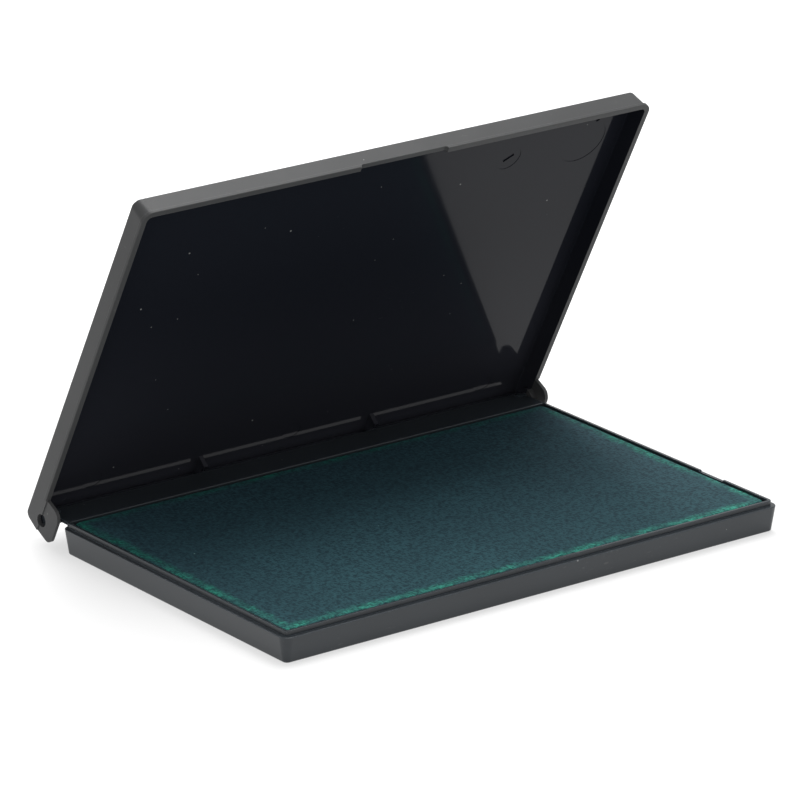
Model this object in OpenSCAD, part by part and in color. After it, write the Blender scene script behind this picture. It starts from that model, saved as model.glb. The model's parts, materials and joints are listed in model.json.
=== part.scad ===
// Hinged stamp pad case: a black moulded tray with an inked felt pad, and a moulded lid that
// swings on two stub pins at the back. The lid is drawn where it stands open.
// Origin: middle of the tray's flat underside. +X runs along the hinge, +Y to the back, +Z up.

/* [Tray] */
// Width of the tray along the hinge, at its shoulder
tray_w = 166; // [120:1:200]
// Depth of the tray from front to back, at its shoulder
tray_d = 101.6; // [70:0.1:120]
// Height of the shoulder that the lid closes onto
shoulder_h = 7.4; // [6.6:0.1:10]
// Height of the raised rim above the shoulder
rim_h = 1.4; // [1.35:0.05:2]
// How far the raised rim stands in from the shoulder's outer edge, at the front and the sides
rim_inset = 1.3; // [0.8:0.05:1.6]
// Thickness of the raised rim
rim_t = 0.9; // [0.8:0.05:1.5]
// Thickness of the tray's floor
floor_t = 1.5; // [1:0.1:2]
// Radius of the tray's upright corners
tray_corner_r = 2.6; // [1.7:0.1:3]

/* [Lid] */
// How far the lip round the lid's edge stands out past the tray at each side
lid_overhang = 1.5; // [1.4:0.05:1.6]
// Thickness of the lid's panel
panel_t = 1.75; // [1:0.05:2]
// Thickness of the lid's walls
lid_wall_t = 1.3; // [1.2:0.05:1.3]
// How far the lip stands out from the lid's walls
lip_t = 0.3; // [0.2:0.05:0.4]
// Height of the lip
lip_h = 1; // [0.8:0.1:1.6]
// Height of the lid from the edge of its walls to its outside face
lid_h = 6.75; // [6.6:0.05:7.5]
// Radius of the lid's front corners, at the lip
lid_corner_r = 3.2; // [3:0.1:6]
// Width of the thumb notch in the lid's front wall
notch_w = 29; // [20:1:36]
// Depth of the thumb notch
notch_h = 0.9; // [0.8:0.1:2]

/* [Hinge] */
// Distance of the hinge pins behind the tray
hinge_back = 7.9; // [7.9:0.1:9.5]
// Height of the hinge pins above the underside
hinge_z = 7.2; // [7:0.1:7.4]
// Radius of the stub pins
pin_r = 1.8; // [1.4:0.05:1.85]
// Radial clearance of the pins in the lid's ears
pin_gap = 0.05; // [0.02:0.01:0.1]
// Angle at which the lid stands open, from closed
open_angle = 62.8; // [0:0.1:179]

/* [Pad] */
// Gap between the pad and the rim around it
pad_gap = 0.4; // [0.3:0.1:1]
// How far the pad's flat top lies below the rim's edge
pad_drop = 0.3; // [0:0.1:1]
// Thickness of the cover cloth
cloth_t = 0.4; // [0.3:0.05:0.6]
// Width of the cloth that is turned under the backing board
hem_w = 10; // [6:1:16]
// Thickness of the backing board
board_t = 1; // [0.6:0.1:1.5]

/* [Hidden] */
$fn = 96;
eps = 0.01;

plastic_colour = [0.10, 0.10, 0.11];
board_colour = [0.55, 0.47, 0.36];
felt_colour = [0.03, 0.20, 0.17];
cloth_colour = [0.04, 0.30, 0.25];

// Tray
tray_draft = 1;
tray_back = tray_d / 2;
foot_round = 0.6;
edge_round = 0.25;
rim_top = shoulder_h + rim_h;
rim_back_inset = 0.2;
rim_w = tray_w - 2 * rim_inset;
rim_d = tray_d - rim_inset - rim_back_inset;
rim_y = (rim_inset - rim_back_inset) / 2;
rim_corner_r = max(tray_corner_r - rim_inset, edge_round + 0.15);
cavity_w = rim_w - 2 * rim_t;
cavity_d = rim_d - 2 * rim_t;
cavity_corner_r = 0.4;
dip_l = 10;
dip_h = 0.45;
dip_y = -tray_d / 4 + 1;

// Hinge
hinge_y = tray_back + hinge_back;
flange_t = 0.9;
flange_z = hinge_z + 0.65;
flange_end = hinge_y + 2;
flange_root = 2;
lug_w = 3;
lug_r = pin_r + 0.1;
ear_back = 3.85;
ear_front = 7;
ear_drop = 6;
ear_t = lid_wall_t - 0.3;
ear_toe_r = 2.9;
ear_heel_r = 2.2;
boss_r = 3.4;
boss_l = 1.4;
pin_engage = 1;
side_gap = 0.2;

// Lid, drawn closed: y runs to the back, z up
close_gap = 0.15;
lid_rim_z = shoulder_h + close_gap;
lid_top_z = lid_rim_z + lid_h;
panel_z = lid_top_z - panel_t;
lid_w = tray_w + 2 * lid_overhang;
lid_play = 0.5;
lid_front = -tray_d / 2 - lid_overhang - lid_play;
lid_back = hinge_y + ear_back;
body_w = lid_w - 2 * lip_t;
body_front = lid_front + lip_t;
lid_in_w = body_w - 2 * lid_wall_t;
lid_in_front = body_front + lid_wall_t;
lid_in_back = lid_back - lid_wall_t;
back_wall_z = hinge_z + 1.3;
lid_draft = 0.6;
inner_draft = 0.5;
lid_edge_round = 0.6;
lip_round = 0.15;
inner_round = 0.3;
back_round = 2.2;
notch_r = 0.8;
rib_x = 29.2;
rib_t = 1.3;
rib_front = 3.9;
rib_knee = [2.8, 2];
rib_heel = [0.5, 3];
rib_embed = 0.3;
ring_r = 7.5;
ring_x = 69.1;
ring_u = 97;
gate_r = 4;
gate_x = 43.6;
gate_u = 96.6;
gate_turn = -32;
scar_l = 3.6;
scar_w = 0.9;
scar_depth = 0.4;
mark_depth = 0.1;
pip_x = 2.8;
pip_u = 6.9;
pip_r = 0.6;
ejector_x = [-65.4, 1.3, 68];
ejector_u = 4.9;
ejector_r = 2.8;

// Pad
pad_w = cavity_w - 2 * pad_gap;
pad_d = cavity_d - 2 * pad_gap;
pad_top = rim_top - pad_drop;
pad_corner_r = 1.2;
core_w = pad_w - 2 * cloth_t;
core_d = pad_d - 2 * cloth_t;
core_corner_r = pad_corner_r - cloth_t;
board_z = floor_t + cloth_t;
felt_z = board_z + board_t;
felt_top = pad_top - cloth_t;

// Quarter rounds of radius r as lists of [inset, z]. round_up starts from a face below, round_in ends
// at a face above, and round_out does the same for the edge of a hollow.
function round_up(r, inset, z) = [for (a = [0:22.5:90]) [inset + r * (1 - sin(a)), z + r * (1 - cos(a))]];
function round_in(r, inset, z) = [for (a = [0:22.5:90]) [inset + r * (1 - cos(a)), z - r * (1 - sin(a))]];
function round_out(r, z) = [for (a = [0:22.5:90]) [-r * (1 - cos(a)), z - r * (1 - sin(a))]];

// A block on a rounded rectangle whose side follows profile, a list of [inset, z] from bottom to top
module profiled_block(w, d, r, profile) {
  x = w / 2;
  y = d / 2;
  lo = profile[0][1];
  hi = profile[len(profile) - 1][1];
  for (sx = [-1, 1], sy = [-1, 1])
    translate([sx * (x - r), sy * (y - r), 0])
      rotate_extrude()
        polygon(concat([[0, lo]], [for (p = profile) [r - p[0], p[1]]], [[0, hi]]));
  profiled_bar(x, d - 2 * r, profile);
  rotate([0, 0, 90]) profiled_bar(y, w - 2 * r, profile);
}

// A bar along Y, l long, whose two sides follow profile
module profiled_bar(x, l, profile) {
  last = len(profile) - 1;
  right = [for (p = profile) [x - p[0], p[1]]];
  left = [for (i = [last:-1:0]) [profile[i][0] - x, profile[i][1]]];
  translate([0, l / 2, 0]) rotate([90, 0, 0]) linear_extrude(l) polygon(concat(right, left));
}

// A side outline [y, z] extruded along X from x0 to x1
module side_prism(x0, x1, outline) {
  translate([x0, 0, 0]) rotate([90, 0, 90]) linear_extrude(x1 - x0) polygon(outline);
}

module x_cylinder(x0, x1, r, y, z) {
  translate([x0, y, z]) rotate([0, 90, 0]) cylinder(h = x1 - x0, r = r);
}

module both_sides() {
  children();
  mirror([1, 0, 0]) children();
}

// Turns what is drawn closed to where the lid stands
module opened() {
  translate([0, hinge_y, hinge_z]) rotate([-open_angle, 0, 0]) translate([0, -hinge_y, -hinge_z]) children();
}

// ---- Tray ----

module tray_outside() {
  side = concat(round_up(foot_round, tray_draft, 0), round_in(edge_round, 0, shoulder_h));
  profiled_block(tray_w, tray_d, tray_corner_r, side);
  rim = concat([[0, shoulder_h - 1]], round_in(edge_round, 0, rim_top));
  translate([0, rim_y, 0]) profiled_block(rim_w, rim_d, rim_corner_r, rim);
}

// The flange at the back that carries the pins, with a rounded far edge
function flange_side() = concat(
  [[tray_back - flange_root, flange_z], [flange_end - edge_round, flange_z]],
  [for (a = [-67.5:22.5:67.5])
    [flange_end - edge_round + edge_round * cos(a),
      a < 0 ? flange_z + edge_round * (1 + sin(a)) : flange_z + flange_t - edge_round * (1 - sin(a))]],
  [[flange_end - edge_round, flange_z + flange_t], [tray_back - flange_root, flange_z + flange_t]]
);

module tray_hinge() {
  x_in = lid_in_w / 2 - boss_l - side_gap;
  side_prism(-x_in, x_in, flange_side());
  both_sides() {
    x_cylinder(x_in - lug_w, x_in, lug_r, hinge_y, hinge_z);
    x_cylinder(x_in - eps, x_in + side_gap + pin_engage, pin_r, hinge_y, hinge_z);
  }
}

module base_tray() color(plastic_colour) {
  difference() {
    union() {
      tray_outside();
      tray_hinge();
    }
    translate([0, rim_y, 0])
      profiled_block(cavity_w, cavity_d, cavity_corner_r,
        concat([[0, floor_t]], round_out(edge_round, rim_top), [[-edge_round, rim_top + 1]]));
    // shallow dip in the right-hand rim
    translate([cavity_w / 2 - 1, dip_y - dip_l / 2, rim_top - dip_h]) cube([rim_t + 3, dip_l, 2]);
  }
}

// ---- Pad ----

module backing_board() color(board_colour)
  translate([0, rim_y, 0]) profiled_block(core_w, core_d, core_corner_r, [[0, board_z], [0, felt_z]]);

module felt_core() color(felt_colour)
  translate([0, rim_y, 0])
    profiled_block(core_w, core_d, core_corner_r, concat([[0, felt_z]], round_in(cloth_t, 0, felt_top)));

module cover_cloth() color(cloth_colour)
  translate([0, rim_y, 0]) difference() {
    profiled_block(pad_w, pad_d, pad_corner_r, concat([[0, floor_t]], round_in(2 * cloth_t, 0, pad_top)));
    profiled_block(core_w, core_d, core_corner_r,
      concat([[0, board_z]], round_in(cloth_t, 0, felt_top)));
    translate([-pad_w / 2 + hem_w, -pad_d / 2 + hem_w, 0]) cube([pad_w - 2 * hem_w, pad_d - 2 * hem_w, felt_z]);
  }

// ---- Lid ----

// Outline of the lid's outside from the side, with a rounded back edge
function lid_side() = concat(
  [[lid_front - 1, lid_rim_z], [lid_front - 1, lid_top_z]],
  [for (a = [0:15:90]) [lid_back - back_round + back_round * sin(a), lid_top_z - back_round + back_round * cos(a)]],
  [[lid_back, lid_rim_z]]
);

// A block that is rounded at its two front corners and square behind
module lid_plan(w, front, back, r, profile) {
  translate([0, front + tray_d / 2, 0]) profiled_block(w, tray_d, r, profile);
  straight = back - front - r;
  translate([0, back - straight / 2, 0]) profiled_bar(w / 2, straight, profile);
}

module lid_outside() {
  body = concat([[0, lid_rim_z]], round_in(lid_edge_round, lid_draft, lid_top_z));
  lip = concat(round_up(lip_round, 0, lid_rim_z), round_in(lip_round, 0, lid_rim_z + lip_h));
  intersection() {
    lid_plan(body_w, body_front, lid_back, lid_corner_r - lip_t, body);
    side_prism(-lid_w, lid_w, lid_side());
  }
  lid_plan(lid_w, lid_front, hinge_y - ear_front, lid_corner_r, lip);
}

module lid_inside() {
  side = concat([[0, 0], [0, lid_rim_z]], round_in(inner_round, inner_draft, panel_z));
  lid_plan(lid_in_w, lid_in_front, lid_in_back, lid_corner_r - lip_t - lid_wall_t, side);
}

// An ear hangs from each back corner of the lid, with a rounded toe in front and a rounded heel behind
module ear() {
  x0 = body_w / 2 - lid_wall_t;
  low = hinge_z - ear_drop;
  toe_y = hinge_y - ear_front + ear_toe_r;
  heel_y = lid_back - ear_heel_r;
  toe_z = low + ear_toe_r;
  heel_z = low + ear_heel_r;
  translate([x0, toe_y - ear_toe_r, toe_z]) cube([ear_t, ear_front + ear_back, lid_rim_z + 1 - toe_z]);
  translate([x0, toe_y, low]) cube([ear_t, heel_y - toe_y, ear_toe_r + 1]);
  translate([x0, heel_y, heel_z]) cube([ear_t, ear_heel_r, ear_toe_r - ear_heel_r + 1]);
  x_cylinder(x0, x0 + ear_t, ear_toe_r, toe_y, toe_z);
  x_cylinder(x0, x0 + ear_t, ear_heel_r, heel_y, heel_z);
  x_cylinder(x0 - boss_l, x0 + eps, boss_r, hinge_y, hinge_z);
}

// Gussets brace the back wall and stay clear of the tray's flange over the whole swing
function rib_side() = [
  [lid_in_back + rib_embed, panel_z + rib_embed],
  [hinge_y - rib_front, panel_z + rib_embed],
  [hinge_y - rib_knee[0], hinge_z + rib_knee[1]],
  [hinge_y + rib_heel[0], hinge_z + rib_heel[1]],
  [lid_in_back + rib_embed, hinge_z + rib_heel[1]]
];

module ribs()
  for (x = [-rib_x, rib_x])
    side_prism(x - rib_t / 2, x + rib_t / 2, rib_side());

module notch_bar(w, z) translate([-w / 2, lid_front - 1, lid_rim_z - 1]) cube([w, lip_t + lid_wall_t + 2, z + 1]);

// Thumb notch in the front wall, with rounded corners
module thumb_notch() {
  notch_bar(notch_w, notch_h - notch_r);
  notch_bar(notch_w - 2 * notch_r, notch_h);
  both_sides()
    translate([notch_w / 2 - notch_r, lid_front - 1, lid_rim_z + notch_h - notch_r])
      rotate([-90, 0, 0]) cylinder(h = lip_t + lid_wall_t + 2, r = notch_r);
}

// A round sunk mark in the panel's inside face, at x and at distance u in front of the hinge
module sunk_disc(x, u, r, depth)
  translate([x, hinge_y - u, panel_z - 1]) cylinder(h = 1 + depth, r = r);

// What moulding leaves in the panel: a ring mark, ejector marks, and the gate with its torn scar and pip
module moulding_marks() {
  sunk_disc(ring_x, ring_u, ring_r, mark_depth);
  for (x = ejector_x) sunk_disc(x, ejector_u, ejector_r, mark_depth);
  sunk_disc(gate_x, gate_u, gate_r, mark_depth);
  translate([gate_x, hinge_y - gate_u, panel_z - 1]) rotate([0, 0, gate_turn])
    translate([-scar_l / 2, -scar_w / 2, 0]) cube([scar_l, scar_w, 1 + scar_depth]);
  sunk_disc(ring_x + pip_x, ring_u + pip_u, pip_r, scar_depth);
}

module lid_cuts() {
  thumb_notch();
  // pin holes
  both_sides() x_cylinder(lid_in_w / 2 - boss_l - 1, lid_w / 2 + 1, pin_r + pin_gap, hinge_y, hinge_z);
  moulding_marks();
}

module lid_shell() color(plastic_colour)
  opened() difference() {
    union() {
      difference() {
        lid_outside();
        lid_inside();
        // lower edge of the back wall, between the ears
        translate([-lid_in_w / 2, hinge_y, 0]) cube([lid_in_w, lid_back, back_wall_z]);
      }
      both_sides() ear();
      ribs();
    }
    lid_cuts();
  }

base_tray();
backing_board();
felt_core();
cover_cloth();
lid_shell();
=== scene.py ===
"""Looks of a hinged stamp pad case: two black mouldings around an inked pad of felt and cloth."""
import json
import math

import bmesh
import bpy
from mathutils import Matrix, Vector, noise


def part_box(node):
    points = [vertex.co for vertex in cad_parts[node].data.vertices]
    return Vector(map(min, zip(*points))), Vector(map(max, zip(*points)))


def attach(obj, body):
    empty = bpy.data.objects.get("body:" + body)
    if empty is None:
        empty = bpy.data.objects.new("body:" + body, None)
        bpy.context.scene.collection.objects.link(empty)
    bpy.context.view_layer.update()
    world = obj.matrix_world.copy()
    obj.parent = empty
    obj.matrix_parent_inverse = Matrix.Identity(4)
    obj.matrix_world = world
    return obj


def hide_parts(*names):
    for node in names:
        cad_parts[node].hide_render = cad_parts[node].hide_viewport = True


MM = 0.001

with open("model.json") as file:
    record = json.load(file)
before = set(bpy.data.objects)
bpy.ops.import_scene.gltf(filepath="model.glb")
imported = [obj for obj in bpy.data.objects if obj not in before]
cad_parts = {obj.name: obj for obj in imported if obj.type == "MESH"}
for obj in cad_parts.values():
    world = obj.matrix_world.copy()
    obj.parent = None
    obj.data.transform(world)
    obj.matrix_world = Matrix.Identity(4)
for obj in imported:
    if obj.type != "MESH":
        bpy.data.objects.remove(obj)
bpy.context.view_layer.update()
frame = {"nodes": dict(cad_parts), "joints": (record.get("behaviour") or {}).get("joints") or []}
scene = bpy.context.scene


# ---------------------------------------------------------------- camera
CAM_PLACE = (-0.95962, -1.25106, 0.59527)
CAM_AZIMUTH, CAM_ELEVATION, CAM_ROLL = 37.267, 19.382, 0.267
CAM_LENS = 281.0


def make_camera():
    """A long lens from the front left, looking a little down."""
    az, el, roll = (math.radians(a) for a in (CAM_AZIMUTH, CAM_ELEVATION, CAM_ROLL))
    ahead = Vector((math.sin(az) * math.cos(el), math.cos(az) * math.cos(el), -math.sin(el)))
    level = Vector((math.cos(az), -math.sin(az), 0))
    raised = level.cross(ahead)
    right = level * math.cos(roll) + raised * math.sin(roll)
    up = raised * math.cos(roll) - level * math.sin(roll)
    camera = bpy.data.objects.new("camera", bpy.data.cameras.new("camera"))
    scene.collection.objects.link(camera)
    turn = Matrix((right, up, -ahead)).transposed()
    camera.matrix_world = Matrix.Translation(CAM_PLACE) @ turn.to_4x4()
    camera.data.lens = CAM_LENS
    camera.data.sensor_width = 36
    camera.data.clip_start, camera.data.clip_end = 0.05, 50
    scene.camera = camera


# ---------------------------------------------------------------- node helper
class Shader:
    """Builds one material's nodes. Every method returns an output socket."""

    def __init__(self, name):
        self.material = bpy.data.materials.new(name)
        self.material.use_nodes = True
        self.nodes = self.material.node_tree.nodes
        self.links = self.material.node_tree.links
        self.nodes.clear()

    def node(self, kind, inputs=(), **props):
        made = self.nodes.new(kind)
        for key, value in props.items():
            setattr(made, key, value)
        for key, value in dict(inputs).items():
            self.feed(made.inputs[key], value)
        return made

    def feed(self, socket, value):
        if isinstance(value, bpy.types.NodeSocket):
            self.links.new(value, socket)
        elif isinstance(value, tuple) and len(value) == 3 and socket.type == "RGBA":
            socket.default_value = (*value, 1)
        else:
            socket.default_value = value

    def math(self, operation, *values, clamp=False):
        pairs = dict(enumerate(values))
        return self.node("ShaderNodeMath", pairs, operation=operation, use_clamp=clamp).outputs[0]

    def vector(self, operation, *values):
        pairs = dict(enumerate(values))
        made = self.node("ShaderNodeVectorMath", pairs, operation=operation)
        return made.outputs["Value" if operation in ("DOT_PRODUCT", "LENGTH") else "Vector"]

    def place(self):
        """Where the point is on the object at rest, in millimetres."""
        where = self.node("ShaderNodeTexCoord").outputs["Object"]
        return self.vector("MULTIPLY", where, (1000, 1000, 1000))

    def axis(self, vector, name):
        return self.node("ShaderNodeSeparateXYZ", {0: vector}).outputs[name]

    def noise(self, vector, per_mm, detail=2.0, rough=0.5, stretch=None):
        if stretch:
            vector = self.vector("MULTIPLY", vector, stretch)
        inputs = {"Vector": vector, "Scale": per_mm, "Detail": detail, "Roughness": rough}
        return self.node("ShaderNodeTexNoise", inputs).outputs["Fac"]

    def ramp(self, value, low, high, to_low=0.0, to_high=1.0, kind="SMOOTHSTEP"):
        inputs = {"Value": value, "From Min": low, "From Max": high, "To Min": to_low, "To Max": to_high}
        return self.node("ShaderNodeMapRange", inputs, interpolation_type=kind).outputs[0]

    def mix(self, factor, a, b):
        made = self.node("ShaderNodeMix", data_type="RGBA")
        for socket, value in zip((made.inputs[0], made.inputs[6], made.inputs[7]), (factor, a, b)):
            self.feed(socket, value)
        return made.outputs[2]

    def bump(self, height, depth_mm, normal=None):
        inputs = {"Height": height, "Strength": 1.0, "Distance": depth_mm * MM}
        if normal is not None:
            inputs["Normal"] = normal
        return self.node("ShaderNodeBump", inputs).outputs[0]

    def surface(self, **inputs):
        named = {k.replace("_", " "): v for k, v in inputs.items()}
        shader = self.node("ShaderNodeBsdfPrincipled", named)
        self.node("ShaderNodeOutputMaterial", {"Surface": shader.outputs[0]})
        return self.material


# ---------------------------------------------------------------- materials
def edge_mask(s, radius_mm):
    """1 on sharp edges and corners, 0 on flat faces."""
    soft = s.node("ShaderNodeBevel", {"Radius": radius_mm * MM}, samples=6).outputs[0]
    flat = s.node("ShaderNodeNewGeometry").outputs["Normal"]
    return s.ramp(s.vector("DOT_PRODUCT", soft, flat), 0.995, 0.90)


def scratch_mask(s, where, stretch, per_mm, cut):
    """Thin, broken lines along the stretched direction."""
    lines = s.noise(where, per_mm, 3.0, 0.6, stretch)
    patches = s.noise(where, 0.05, 2.0)
    return s.math("MULTIPLY", s.ramp(lines, cut, cut + 0.04), s.ramp(patches, 0.48, 0.62))


def speck_mask(s, where, per_mm, size, share):
    """Single specks of dust: small dots in a few cells of a Voronoi pattern."""
    cells = s.node("ShaderNodeTexVoronoi", {"Vector": where, "Scale": per_mm, "Randomness": 1.0})
    dots = s.ramp(cells.outputs["Distance"], size, size * 0.6)
    chosen = s.math("LESS_THAN", s.axis(cells.outputs["Color"], "X"), share)
    return s.math("MULTIPLY", dots, chosen)


def black_plastic(name, colour, roughness, wear_and_edge_highlight, inside=None, gloss_level=0.5):
    """Black moulded plastic, satin outside, and glossy where the inside mask is 1.

    The fourth argument is how many times lighter the edges are than the faces: partly edge wear, partly a
    painted highlight along the edges.
    """
    s = Shader(name)
    where = s.place()
    edges = edge_mask(s, 0.30)
    cloud = s.noise(where, 0.03, 3.0)
    scuffs = s.math("MAXIMUM", scratch_mask(s, where, (0.25, 1, 1), 1.5, 0.66),
                    scratch_mask(s, where, (1, 0.25, 1), 1.2, 0.68))
    fine_dust = speck_mask(s, where, 0.25, 0.05, 0.22)
    coarse_dust = speck_mask(s, where, 0.11, 0.035, 0.5)
    dust = s.math("MAXIMUM", fine_dust, coarse_dust)
    grain = s.noise(where, 6.0, 3.0, 0.6)
    darker, lighter = (tuple(c * share for c in colour) for share in (0.93, 1.07))
    tint = s.mix(s.ramp(cloud, 0.3, 0.7), darker, lighter)
    # painted highlight, and wear: the edges are coloured lighter than the faces
    tint = s.mix(s.math("MULTIPLY", edges, 0.7), tint, tuple(c * wear_and_edge_highlight for c in colour))
    tint = s.mix(s.math("MULTIPLY", scuffs, 0.30), tint, (0.14, 0.14, 0.14))
    tint = s.mix(s.math("MULTIPLY", dust, 0.6), tint, (0.35, 0.36, 0.35))
    rough = s.ramp(cloud, 0.3, 0.7, roughness * 0.96, roughness * 1.04)
    if inside is not None:
        gloss = inside(s, where)
        rough = s.ramp(gloss, 0, 1, rough, s.ramp(cloud, 0.3, 0.7, 0.055, 0.085), kind="LINEAR")
        # painted light: the lid's inside is coloured lighter low on the open lid, near the hinge, than
        # higher up
        hinge_painted_light = s.mix(s.ramp(s.axis(where, "Z"), 12, 75), (0.020, 0.021, 0.027), (0.0095, 0.0105, 0.0145))
        tint = s.mix(s.math("MULTIPLY", gloss, s.math("SUBTRACT", 1.0, dust)), tint, hinge_painted_light)
        satin = s.math("SUBTRACT", 1.0, gloss)
        waves = s.math("MULTIPLY", gloss, s.noise(where, 0.05, 1.0))
        relief = s.math("ADD", s.math("MULTIPLY", grain, s.math("MULTIPLY", satin, 0.010)),
                        s.math("MULTIPLY", waves, 0.012))
    else:
        relief = s.math("MULTIPLY", grain, 0.010)
    rough = s.math("ADD", rough, s.math("MULTIPLY", s.math("MAXIMUM", scuffs, dust), 0.2))
    return s.surface(Base_Color=tint, Roughness=rough, Normal=s.bump(relief, 1.0), IOR=1.45,
                     Specular_IOR_Level=gloss_level)


# the lid's glossy inside, in millimetres from the middle and from the hinge axis
INSIDE_HALF_WIDTH = 82.95
INSIDE_DEPTHS = (0.45, 6.3)
INSIDE_REACH = (-2.8, 109.95)


def lid_inside(s, where):
    """1 on the lid's inside faces, from how far the point is out from the hinge axis and from the walls."""
    open_angle = -math.radians(lid_joint["range_deg"][0])
    outward = Vector((0, math.sin(open_angle), math.cos(open_angle)))
    upward = Vector((0, -math.cos(open_angle), math.sin(open_angle)))
    pivot = Vector(lid_joint["pos_m"]) * 1000
    local = s.vector("SUBTRACT", where, tuple(pivot))
    n = s.vector("DOT_PRODUCT", local, tuple(outward))
    u = s.vector("DOT_PRODUCT", local, tuple(upward))
    x = s.math("ABSOLUTE", s.axis(where, "X"))
    inside = s.math("LESS_THAN", x, INSIDE_HALF_WIDTH)
    for distance, (near, far) in ((n, INSIDE_DEPTHS), (u, INSIDE_REACH)):
        inside = s.math("MULTIPLY", inside, s.math("GREATER_THAN", distance, near))
        inside = s.math("MULTIPLY", inside, s.math("LESS_THAN", distance, far))
    return inside


THREAD_PITCH = 0.36


def inked_cloth():
    """Fine woven cloth soaked with ink: mottled blue-green, with a patchy brighter band near its edges."""
    s = Shader("inked_cloth")
    where = s.place()
    low, high = (v * 1000 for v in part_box("cover_cloth"))
    mid, half = (low + high) / 2, (high - low) / 2
    local = s.vector("SUBTRACT", where, tuple(mid))
    x, y = s.axis(local, "X"), s.axis(local, "Y")
    side = s.math("SUBTRACT", half.x, s.math("ABSOLUTE", x))
    ends = s.math("SUBTRACT", half.y, s.math("ABSOLUTE", y))
    inset = s.math("MINIMUM", side, ends)
    wander = s.math("MULTIPLY", s.math("SUBTRACT", s.noise(where, 0.07, 3.0), 0.5), 3.2)
    ragged = s.math("MULTIPLY", s.math("SUBTRACT", s.noise(where, 0.5, 3.0, 0.7), 0.5), 3.6)
    inset = s.math("ADD", s.math("ADD", inset, wander), ragged)
    band = s.math("MULTIPLY", s.ramp(inset, -0.6, 0.8), s.ramp(inset, 4.2, 1.3))
    patchy = s.ramp(s.noise(where, 0.11, 3.0, 0.6), 0.38, 0.64, 0.25, 0.9)
    band = s.math("MULTIPLY", band, patchy)
    # slubs along both thread directions, and a finer fleck over them
    warp = s.noise(where, 0.8, 2.0, 0.6, (2.0, 0.8, 1))
    weft = s.noise(where, 0.8, 2.0, 0.6, (0.8, 2.0, 1))
    fleck = s.noise(where, 2.4, 2.0, 0.7)
    threads = s.math("ADD", warp, weft)
    mottle = s.math("ADD", s.math("MULTIPLY", threads, 0.35), s.math("MULTIPLY", fleck, 0.3))
    cloud = s.noise(where, 0.03, 2.0)
    # painted light and shade: the pad's colours change from back to front, the green band lighter toward
    # the front and the darkest blue a little lighter toward the back, where the lid shades the pad
    painted_light_toward_front = s.ramp(y, half.y, -half.y, 0.0, 1.0, kind="LINEAR")
    dark = s.mix(painted_light_toward_front, (0.012, 0.028, 0.040), (0.0095, 0.027, 0.036))
    light = s.mix(painted_light_toward_front, (0.028, 0.074, 0.094), (0.026, 0.078, 0.092))
    base = s.mix(s.ramp(mottle, 0.40, 0.60), dark, light)
    base = s.mix(s.ramp(cloud, 0.35, 0.65, 0.0, 0.25), base, dark)
    green_dark = s.mix(painted_light_toward_front, (0.006, 0.070, 0.056), (0.012, 0.105, 0.084))
    green_light = s.mix(painted_light_toward_front, (0.014, 0.165, 0.120), (0.040, 0.280, 0.205))
    green = s.mix(s.ramp(mottle, 0.42, 0.60), green_dark, green_light)
    colour = s.mix(s.math("MULTIPLY", band, s.ramp(mottle, 0.38, 0.52, 0.55, 1.0)), base, green)
    lint = speck_mask(s, where, 0.10, 0.030, 0.55)
    colour = s.mix(s.math("MULTIPLY", lint, 0.8), colour, (0.20, 0.38, 0.36))
    waves = [s.math("SINE", s.math("MULTIPLY", along, 2 * math.pi / THREAD_PITCH)) for along in (x, y)]
    weave = s.math("ADD", *waves)
    height = s.math("ADD", s.math("MULTIPLY", weave, 0.12), s.math("MULTIPLY", mottle, 1.2))
    return s.surface(Base_Color=colour, Roughness=0.8, Normal=s.bump(height, 0.07), IOR=1.3,
                     Specular_IOR_Level=0.3)


def inked_felt():
    """Dense felt soaked with ink."""
    s = Shader("inked_felt")
    where = s.place()
    fibres = s.noise(where, 2.2, 4.0, 0.7, (0.5, 0.5, 2.0))
    colour = s.mix(s.ramp(fibres, 0.3, 0.7), (0.006, 0.05, 0.045), (0.02, 0.14, 0.11))
    return s.surface(Base_Color=colour, Roughness=0.9, Normal=s.bump(fibres, 0.15), Sheen_Weight=0.2)


def fibreboard():
    """Thin grey-brown board, stained by the ink."""
    s = Shader("fibreboard")
    where = s.place()
    fibres = s.noise(where, 1.2, 4.0, 0.65, (0.3, 1, 1))
    stain = s.noise(where, 0.05, 3.0)
    colour = s.mix(s.ramp(fibres, 0.3, 0.7), (0.30, 0.23, 0.15), (0.46, 0.37, 0.25))
    colour = s.mix(s.ramp(stain, 0.5, 0.7, 0, 0.7), colour, (0.02, 0.12, 0.10))
    return s.surface(Base_Color=colour, Roughness=0.8, Normal=s.bump(fibres, 0.05))


def give(obj, material):
    obj.data.materials.clear()
    obj.data.materials.append(material)


# ---------------------------------------------------------------- pad
SMALLEST_CORNER = 0.4 * MM
CORNER_SPACING = 0.2 * MM
CLOTH_CORNER, CLOTH_FOLD, CLOTH_SPACING = 2.2 * MM, 0.9 * MM, 1.0 * MM
FELT_CORNER, FELT_FOLD, FELT_SPACING = 1.2 * MM, 0.4 * MM, 2.0 * MM
HEM = 10 * MM
UNDER_CLOTH = Vector((0, 0, 0.1 * MM))


def grid_lines(half, corner, fine, coarse):
    """Positions from -half to half, close together over the corner at both ends."""
    n_corner = max(2, round(corner / fine))
    n_middle = max(2, round(2 * (half - corner) / coarse))
    ends = [half - corner + corner * i / n_corner for i in range(1, n_corner + 1)]
    middle = [-(half - corner) + 2 * (half - corner) * i / n_middle for i in range(n_middle + 1)]
    return [-v for v in reversed(ends)] + middle + ends


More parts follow.
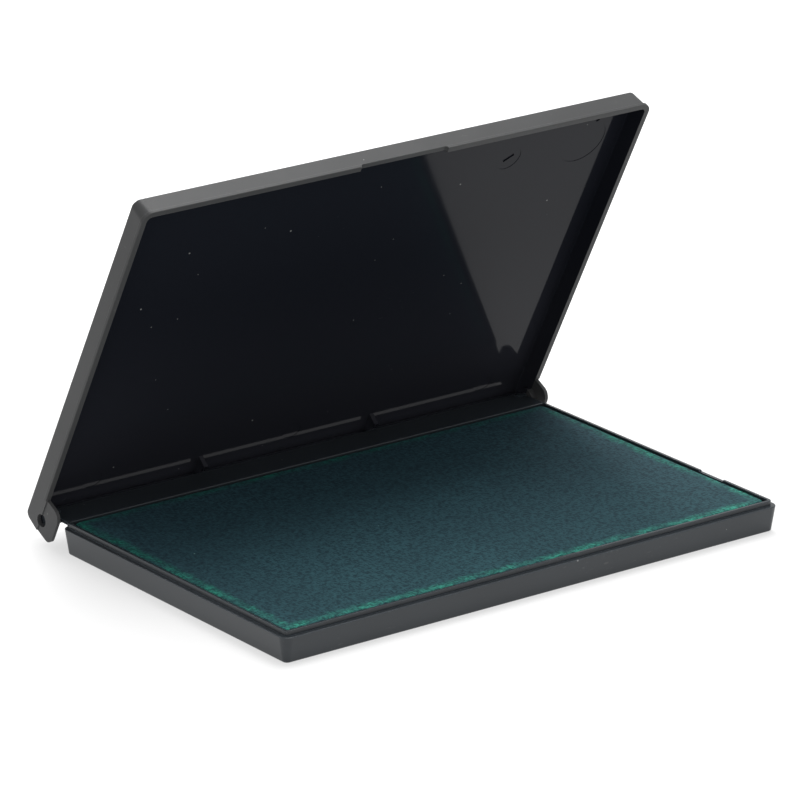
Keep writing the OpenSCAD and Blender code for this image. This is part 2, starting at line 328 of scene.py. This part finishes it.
def round_corner(x, y, half_w, half_d, r):
    """Moves a point of a square-cornered grid so that the corner becomes a quarter circle of radius r."""
    cx, cy = half_w - r, half_d - r
    px, py = (abs(x) - cx) / r, (abs(y) - cy) / r
    if px <= 0 or py <= 0:
        return x, y
    if px >= py:
        angle = math.pi / 4 * (py / px)
    else:
        angle = math.pi / 2 - math.pi / 4 * (px / py)
    reach = max(px, py) * r
    return math.copysign(cx + reach * math.cos(angle), x), math.copysign(cy + reach * math.sin(angle), y)


def wrapped_pad(name, low, high, corner, over, hem, height, spacing):
    """A soft block: a gently uneven top, an edge that turns over with radius over, sides, and a hem.

    height(x, y) is how far the top stands above its edge. The hem goes underneath, and with no hem the
    bottom is closed. All lengths are in metres.
    """
    mid = (low + high) / 2
    half_w, half_d = (high.x - low.x) / 2, (high.y - low.y) / 2
    top_w, top_d, r = half_w - over, half_d - over, max(corner - over, SMALLEST_CORNER)
    xs = grid_lines(top_w, r, CORNER_SPACING, spacing)
    ys = grid_lines(top_d, r, CORNER_SPACING, spacing)
    bm = bmesh.new()
    rows = []
    for y in ys:
        row = []
        for x in xs:
            px, py = round_corner(x, y, top_w, top_d, r)
            row.append(bm.verts.new((mid.x + px, mid.y + py, high.z + height(px, py))))
        rows.append(row)
    for a, b in zip(rows, rows[1:]):
        for i in range(len(xs) - 1):
            bm.faces.new((a[i], a[i + 1], b[i + 1], b[i]))
    loop = rows[0][:-1] + [row[-1] for row in rows[:-1]] + rows[-1][:0:-1] + [row[0] for row in rows[:0:-1]]
    outward = []
    for v in loop:
        dx, dy = v.co.x - mid.x, v.co.y - mid.y
        away = Vector((math.copysign(max(abs(dx) - (top_w - r), 0), dx),
                       math.copysign(max(abs(dy) - (top_d - r), 0), dy), 0))
        outward.append(away.normalized())
    start = [v.co.copy() for v in loop]
    small_steps = [math.radians(15 * i) for i in range(1, 7)]
    turn = [(over * math.sin(a), over * (math.cos(a) - 1)) for a in small_steps]
    depth = low.z - high.z
    sides = [(over, -over + (depth + 2 * over) * i / 5) for i in range(1, 6)]
    big_steps = [math.radians(30 * i) for i in range(1, 4)]
    under = [(over * math.cos(a), depth + over * (1 - math.sin(a))) for a in big_steps]
    inwards = [(-hem * i / 6, depth) for i in range(1, 7)] if hem else []
    before = loop
    for out, drop in turn + sides + under + inwards:
        ring = []
        for k, (p, d) in enumerate(zip(start, outward)):
            edge_z = p.z if drop > -over else high.z
            ring.append(bm.verts.new((p.x + d.x * out, p.y + d.y * out, edge_z + drop)))
        for k in range(len(ring)):
            j = (k + 1) % len(ring)
            bm.faces.new((before[j], before[k], ring[k], ring[j]))
        before = ring
    if not hem:
        bm.faces.new(before)
    bmesh.ops.recalc_face_normals(bm, faces=bm.faces)
    mesh = bpy.data.meshes.new(name)
    bm.to_mesh(mesh)
    bm.free()
    mesh.shade_smooth()
    obj = bpy.data.objects.new(name, mesh)
    scene.collection.objects.link(obj)
    return obj


def pad_height(x, y):
    """The slow unevenness of the soft felt's top, with a finer unevenness over it."""
    slow = noise.noise(Vector((x / 0.030, y / 0.030, 3.1)))
    finer = noise.noise(Vector((x / 0.009, y / 0.009, 7.7)))
    return (0.12 * slow + 0.04 * finer) * MM


def make_pad():
    low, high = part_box("cover_cloth")
    felt_low, felt_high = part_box("felt_core")
    thick = high.z - felt_high.z
    cloth = wrapped_pad("pad_cloth", low, high, CLOTH_CORNER, CLOTH_FOLD, HEM, pad_height, CLOTH_SPACING)
    shell = cloth.modifiers.new("thickness", "SOLIDIFY")
    shell.thickness = thick * 0.9
    shell.offset = -1
    give(cloth, inked_cloth())
    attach(cloth, "base")
    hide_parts("cover_cloth")
    felt_top = felt_high - UNDER_CLOTH
    felt = wrapped_pad("pad_felt", felt_low, felt_top, FELT_CORNER, FELT_FOLD, 0, pad_height, FELT_SPACING)
    give(felt, inked_felt())
    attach(felt, "base")
    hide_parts("felt_core")


# ---------------------------------------------------------------- surroundings
def make_surroundings():
    """A white, softly glowing table, even white surroundings and soft lights overhead and behind."""
    bm = bmesh.new()
    bmesh.ops.create_circle(bm, cap_ends=True, segments=96, radius=12)
    mesh = bpy.data.meshes.new("floor")
    bm.to_mesh(mesh)
    bm.free()
    floor = bpy.data.objects.new("floor", mesh)
    scene.collection.objects.link(floor)
    s = Shader("floor")
    paper = s.noise(s.place(), 0.004, 2.0)
    pale = s.mix(paper, (0.34, 0.34, 0.34), (0.36, 0.36, 0.36))
    give(floor, s.surface(Base_Color=pale, Roughness=0.9, Specular_IOR_Level=0.0,
                          Emission_Color=(1.0, 1.0, 1.0), Emission_Strength=0.6))

    world = bpy.data.worlds.new("studio")
    world.use_nodes = True
    background = world.node_tree.nodes["Background"]
    background.inputs["Color"].default_value = (1.0, 1.0, 1.0, 1)
    background.inputs["Strength"].default_value = 0.7
    scene.world = world

    def softbox(name, place, size, radiance):
        light = bpy.data.lights.new(name, "AREA")
        light.shape = "RECTANGLE"
        light.size, light.size_y = size
        light.energy = radiance * math.pi * size[0] * size[1]
        obj = bpy.data.objects.new(name, light)
        obj.location = place
        obj.rotation_euler = (-Vector(place)).to_track_quat("-Z", "Y").to_euler()
        scene.collection.objects.link(obj)

    softbox("overhead", (0.18, 0.12, 0.74), (0.4, 0.5), 8.0)
    softbox("behind", (0.08, 0.42, 0.30), (0.4, 0.3), 7.0)
    scene.view_settings.view_transform = "Standard"


# ---------------------------------------------------------------- scene
lid_joint = frame["joints"][0]
make_camera()
make_surroundings()
give(frame["nodes"]["base_tray"], black_plastic("tray_plastic", (0.0225, 0.0275, 0.0325), 0.30, 5.0))
lid_plastic = black_plastic("lid_plastic", (0.058, 0.059, 0.060), 0.32, 1.5, lid_inside, 0.10)
give(frame["nodes"]["lid_shell"], lid_plastic)
give(frame["nodes"]["backing_board"], fibreboard())
make_pad()
